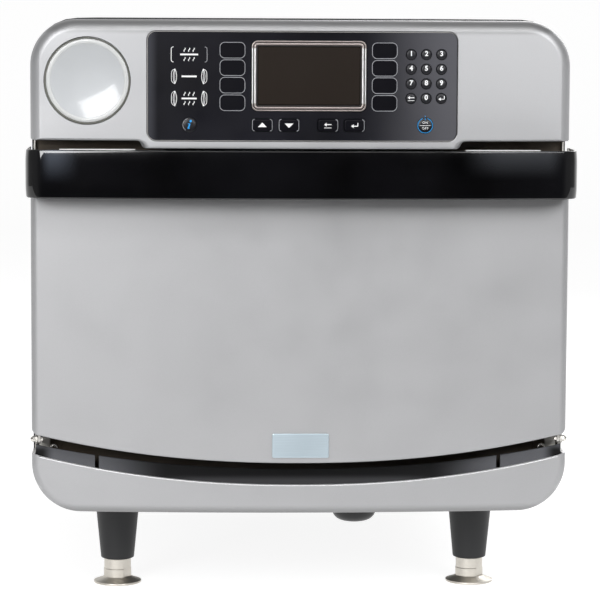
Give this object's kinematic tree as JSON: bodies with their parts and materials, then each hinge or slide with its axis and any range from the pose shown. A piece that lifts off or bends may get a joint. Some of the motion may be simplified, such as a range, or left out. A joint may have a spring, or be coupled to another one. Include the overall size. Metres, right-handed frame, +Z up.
{
  "type": "speed oven",
  "caption": "Countertop speed oven with a bowed silver front, black strap handle on a drop-down door, a hood with display and raised keys, and tapered legs with levelling feet.",
  "frame": {"origin": "on the floor under the middle of the oven, handle and cord gland included", "axes": "+Z up, the door and its handle face -Y, +X to the right of someone facing the door"},
  "size_m": [0.54, 0.726, 0.5855],
  "materials": {
    "casing_paint": "satin dark grey paint",
    "silver_shell": "satin silver paint",
    "overlay_black": "fine matt black",
    "handle_black": "high gloss black",
    "bezel_metal": "bright metal",
    "display_glass": "smoked, matt",
    "badge_silver": "satin silver",
    "lens_clear": "clear, domed",
    "trough_grey": "matt dark grey",
    "steel": "plain stainless sheet",
    "foot_steel": "turned, bright",
    "rack_wire": "bright wire",
    "leg_black": "satin black",
    "knob_black": "gloss black",
    "fan_black": "matt black",
    "gasket_grey": "matt dark grey",
    "board_green": "green board",
    "core_grey": "varnished laminations",
    "coil_grey": "dull heater sheath"
  },
  "bodies": {
    "oven_body": {"casing_wrap": "casing_paint", "rear_panel": "casing_paint", "base_pan": "casing_paint", "front_frame": "steel", "control_hood": "silver_shell", "keypad_overlay": "overlay_black", "display_bezel": "bezel_metal", "display_window": "display_glass", "control_board": "board_green", "badge_disc": "badge_silver", "badge_lens": "lens_clear", "hinge_pin_left": "foot_steel", "hinge_pin_right": "foot_steel", "lower_fascia": "silver_shell", "drip_trough": "trough_grey", "cooking_cavity": "steel", "top_jet_plate": "steel", "bottom_jet_plate": "steel", "blower_motor": "casing_paint", "heater_coil": "coil_grey", "waveguide": "steel", "magnetron": "steel", "power_transformer": "core_grey", "cooling_fan_frame": "fan_black", "cord_gland": "fan_black", "leg_front_left": "leg_black", "leg_front_right": "leg_black", "leg_rear_left": "leg_black", "leg_rear_right": "leg_black"},
    "door": {"door_shell": "silver_shell", "door_liner": "steel", "door_gasket": "gasket_grey", "door_handle": "handle_black", "name_plate": "steel"},
    "key_0": {"key_0": "overlay_black"},
    "key_1": {"key_1": "overlay_black"},
    "key_2": {"key_2": "overlay_black"},
    "key_3": {"key_3": "overlay_black"},
    "key_4": {"key_4": "overlay_black"},
    "key_5": {"key_5": "overlay_black"},
    "key_6": {"key_6": "overlay_black"},
    "key_7": {"key_7": "overlay_black"},
    "key_8": {"key_8": "overlay_black"},
    "key_9": {"key_9": "overlay_black"},
    "key_back": {"key_back": "overlay_black"},
    "key_enter": {"key_enter": "overlay_black"},
    "info_key": {"info_key": "overlay_black"},
    "power_key": {"power_key": "overlay_black"},
    "nav_up_key": {"nav_up_key": "overlay_black"},
    "nav_down_key": {"nav_down_key": "overlay_black"},
    "nav_back_key": {"nav_back_key": "overlay_black"},
    "nav_enter_key": {"nav_enter_key": "overlay_black"},
    "foot_front_left": {"foot_front_left": "foot_steel"},
    "foot_front_right": {"foot_front_right": "foot_steel"},
    "foot_rear_left": {"foot_rear_left": "foot_steel"},
    "foot_rear_right": {"foot_rear_right": "foot_steel"},
    "blower_impeller": {"blower_impeller": "steel"},
    "cooling_fan_rotor": {"cooling_fan_rotor": "fan_black"},
    "oven_rack": {"oven_rack": "rack_wire"},
    "filter_knob": {"filter_knob": "knob_black"}
  },
  "joints": [
    {"name": "door_hinge", "type": "hinge", "parent": "oven_body", "child": "door", "pos_m": [0, -0.293, 0.171], "axis": [1, 0, 0], "range_deg": [0, 90]},
    {"name": "key_0_press", "type": "slide", "parent": "oven_body", "child": "key_0", "axis": [0, 1, 0], "range_m": [0, 0.0006], "stiffness_N_per_m": 1500, "springref_m": -0.0005},
    {"name": "key_1_press", "type": "slide", "parent": "oven_body", "child": "key_1", "axis": [0, 1, 0], "range_m": [0, 0.0006], "stiffness_N_per_m": 1500, "springref_m": -0.0005},
    {"name": "key_2_press", "type": "slide", "parent": "oven_body", "child": "key_2", "axis": [0, 1, 0], "range_m": [0, 0.0006], "stiffness_N_per_m": 1500, "springref_m": -0.0005},
    {"name": "key_3_press", "type": "slide", "parent": "oven_body", "child": "key_3", "axis": [0, 1, 0], "range_m": [0, 0.0006], "stiffness_N_per_m": 1500, "springref_m": -0.0005},
    {"name": "key_4_press", "type": "slide", "parent": "oven_body", "child": "key_4", "axis": [0, 1, 0], "range_m": [0, 0.0006], "stiffness_N_per_m": 1500, "springref_m": -0.0005},
    {"name": "key_5_press", "type": "slide", "parent": "oven_body", "child": "key_5", "axis": [0, 1, 0], "range_m": [0, 0.0006], "stiffness_N_per_m": 1500, "springref_m": -0.0005},
    {"name": "key_6_press", "type": "slide", "parent": "oven_body", "child": "key_6", "axis": [0, 1, 0], "range_m": [0, 0.0006], "stiffness_N_per_m": 1500, "springref_m": -0.0005},
    {"name": "key_7_press", "type": "slide", "parent": "oven_body", "child": "key_7", "axis": [0, 1, 0], "range_m": [0, 0.0006], "stiffness_N_per_m": 1500, "springref_m": -0.0005},
    {"name": "key_8_press", "type": "slide", "parent": "oven_body", "child": "key_8", "axis": [0, 1, 0], "range_m": [0, 0.0006], "stiffness_N_per_m": 1500, "springref_m": -0.0005},
    {"name": "key_9_press", "type": "slide", "parent": "oven_body", "child": "key_9", "axis": [0, 1, 0], "range_m": [0, 0.0006], "stiffness_N_per_m": 1500, "springref_m": -0.0005},
    {"name": "key_back_press", "type": "slide", "parent": "oven_body", "child": "key_back", "axis": [0, 1, 0], "range_m": [0, 0.0006], "stiffness_N_per_m": 1500, "springref_m": -0.0005},
    {"name": "key_enter_press", "type": "slide", "parent": "oven_body", "child": "key_enter", "axis": [0, 1, 0], "range_m": [0, 0.0006], "stiffness_N_per_m": 1500, "springref_m": -0.0005},
    {"name": "info_key_press", "type": "slide", "parent": "oven_body", "child": "info_key", "axis": [0, 1, 0], "range_m": [0, 0.0006], "stiffness_N_per_m": 1500, "springref_m": -0.0005},
    {"name": "power_key_press", "type": "slide", "parent": "oven_body", "child": "power_key", "axis": [0, 1, 0], "range_m": [0, 0.0006], "stiffness_N_per_m": 1500, "springref_m": -0.0005},
    {"name": "nav_up_key_press", "type": "slide", "parent": "oven_body", "child": "nav_up_key", "axis": [0, 1, 0], "range_m": [0, 0.0006], "stiffness_N_per_m": 1500, "springref_m": -0.0005},
    {"name": "nav_down_key_press", "type": "slide", "parent": "oven_body", "child": "nav_down_key", "axis": [0, 1, 0], "range_m": [0, 0.0006], "stiffness_N_per_m": 1500, "springref_m": -0.0005},
    {"name": "nav_back_key_press", "type": "slide", "parent": "oven_body", "child": "nav_back_key", "axis": [0, 1, 0], "range_m": [0, 0.0006], "stiffness_N_per_m": 1500, "springref_m": -0.0005},
    {"name": "nav_enter_key_press", "type": "slide", "parent": "oven_body", "child": "nav_enter_key", "axis": [0, 1, 0], "range_m": [0, 0.0006], "stiffness_N_per_m": 1500, "springref_m": -0.0005},
    {"name": "foot_front_left_height", "type": "slide", "parent": "oven_body", "child": "foot_front_left", "axis": [0, 0, -1], "range_m": [0, 0.019]},
    {"name": "foot_front_right_height", "type": "slide", "parent": "oven_body", "child": "foot_front_right", "axis": [0, 0, -1], "range_m": [0, 0.019]},
    {"name": "foot_rear_left_height", "type": "slide", "parent": "oven_body", "child": "foot_rear_left", "axis": [0, 0, -1], "range_m": [0, 0.019]},
    {"name": "foot_rear_right_height", "type": "slide", "parent": "oven_body", "child": "foot_rear_right", "axis": [0, 0, -1], "range_m": [0, 0.019]},
    {"name": "impeller_spin", "type": "hinge", "parent": "oven_body", "child": "blower_impeller", "pos_m": [0, 0.125, 0.3175], "axis": [0, 1, 0], "continuous": true},
    {"name": "cooling_fan_spin", "type": "hinge", "parent": "oven_body", "child": "cooling_fan_rotor", "pos_m": [-0.12, 0.333, 0.1668], "axis": [0, 1, 0], "continuous": true},
    {"name": "rack_lift", "type": "slide", "parent": "oven_body", "child": "oven_rack", "axis": [0, 0, 1], "range_m": [0, 0.02]},
    {"name": "filter_knob_turn", "type": "hinge", "parent": "oven_body", "child": "filter_knob", "pos_m": [0.0587, -0.222, 0.1], "axis": [0, 0, 1], "range_deg": [0, 90]}
  ]
}
